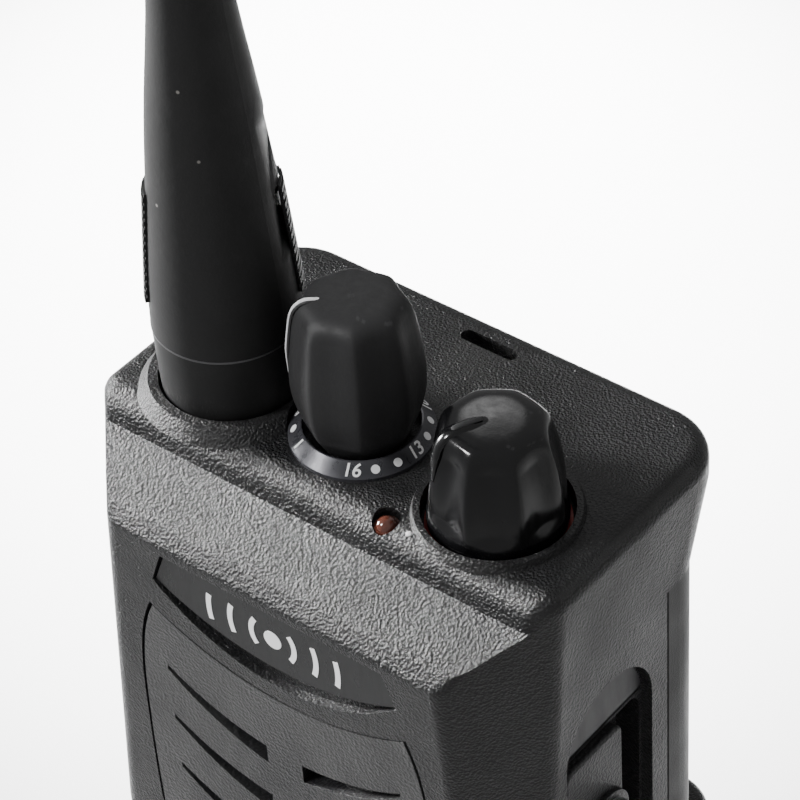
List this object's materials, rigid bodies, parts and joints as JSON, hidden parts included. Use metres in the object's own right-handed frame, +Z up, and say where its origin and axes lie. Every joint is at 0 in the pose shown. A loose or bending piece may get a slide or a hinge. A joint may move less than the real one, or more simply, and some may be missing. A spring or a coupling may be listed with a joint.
{
  "type": "portable two-way radio",
  "caption": "Compact hand-held two-way radio with a tapered whip antenna, channel and volume knobs, side push-to-talk key, speaker grille and swing-out battery.",
  "frame": {"origin": "centre of the base, on the surface the radio stands on", "axes": "+X to the right when facing the front, front at -Y, +Z up along the antenna"},
  "size_m": [0.0564, 0.0364, 0.268],
  "materials": {
    "case_plastic": "coarse moulded leather grain",
    "grille_plastic": "fine moulded grain",
    "badge_plastic": "smooth satin",
    "knob_rubber": "smooth soft-touch",
    "knob_plastic": "polished",
    "dial_plastic": "satin, turned",
    "antenna_rubber": "matte",
    "seal_rubber": "smooth",
    "gasket_rubber": "smooth",
    "lamp_lens": "tinted, clear",
    "chassis_paint": "matte powder coat over die casting",
    "steel": "plated",
    "contact_gold": "gold plated",
    "board": "solder resist",
    "cone_paper": "coated paper",
    "cell_wrap": "shrink film"
  },
  "bodies": {
    "casing": {"front_case": "case_plastic", "rear_chassis": "chassis_paint", "belt_clip_inserts": "contact_gold", "chassis_screws": "steel", "case_gasket": "gasket_rubber", "name_badge": "badge_plastic", "speaker_grille": "grille_plastic", "speaker_frame": "steel", "speaker_cone": "cone_paper", "speaker_magnet": "steel", "microphone": "steel", "main_board": "board", "shield_cans": "steel", "radio_contacts": "contact_gold", "channel_encoder": "steel", "channel_nut": "steel", "volume_control": "steel", "volume_nut": "steel", "channel_dial_ring": "dial_plastic", "volume_seal_ring": "seal_rubber", "led_lens": "lamp_lens", "antenna_boot": "antenna_rubber", "antenna_joint_ring": "steel", "antenna_sheath": "antenna_rubber", "antenna_grips": "antenna_rubber", "antenna_core": "steel", "antenna_stud": "contact_gold", "antenna_socket": "contact_gold", "side_key_frame": "grille_plastic", "side_switches": "steel", "jack_socket_large": "steel", "jack_socket_small": "steel", "latch_spring": "steel"},
    "channel_dial": {"channel_knob": "knob_rubber", "channel_shaft": "steel"},
    "volume_dial": {"volume_knob": "knob_plastic", "volume_shaft": "steel"},
    "ptt": {"ptt_button": "knob_rubber"},
    "key_upper": {"side_key_upper": "knob_rubber"},
    "key_lower": {"side_key_lower": "knob_rubber"},
    "cover": {"jack_cover": "grille_plastic"},
    "cover_screw": {"jack_cover_screw": "steel"},
    "battery": {"battery_case": "case_plastic", "charging_contacts": "contact_gold", "battery_lid": "case_plastic", "battery_contacts": "contact_gold", "battery_cells": "cell_wrap"},
    "latch": {"release_latch": "grille_plastic", "latch_hook": "steel"}
  },
  "joints": [
    {"name": "channel_turn", "type": "hinge", "parent": "casing", "child": "channel_dial", "pos_m": [-0.0012, -0.00181, 0.122], "axis": [0, 0, 1], "range_deg": [-280, 20]},
    {"name": "volume_turn", "type": "hinge", "parent": "casing", "child": "volume_dial", "pos_m": [0.0155, -0.00307, 0.122], "axis": [0, 0, 1], "range_deg": [-280, 0]},
    {"name": "ptt_press", "type": "slide", "parent": "casing", "child": "ptt", "axis": [1, 0, 0], "range_m": [0, 0.0012], "stiffness_N_per_m": 2500},
    {"name": "key_upper_press", "type": "slide", "parent": "casing", "child": "key_upper", "axis": [1, 0, 0], "range_m": [0, 0.0005], "stiffness_N_per_m": 6000},
    {"name": "key_lower_press", "type": "slide", "parent": "casing", "child": "key_lower", "axis": [1, 0, 0], "range_m": [0, 0.0005], "stiffness_N_per_m": 6000},
    {"name": "cover_pull", "type": "slide", "parent": "casing", "child": "cover", "axis": [1, 0, 0], "range_m": [0, 0.01]},
    {"name": "cover_screw_turn", "type": "hinge", "parent": "cover", "child": "cover_screw", "pos_m": [0.0272, -0.003, 0.0876], "axis": [1, 0, 0], "range_deg": [0, 720]},
    {"name": "battery_swing", "type": "hinge", "parent": "casing", "child": "battery", "pos_m": [0, 0.0126, 0.0736], "axis": [1, 0, 0], "range_deg": [0, 22], "deforming": ["latch_hook"]},
    {"name": "latch_lift", "type": "slide", "parent": "casing", "child": "latch", "axis": [0, 0, 1], "range_m": [0, 0.0016], "stiffness_N_per_m": 1500, "deforming": ["latch_spring"]}
  ]
}
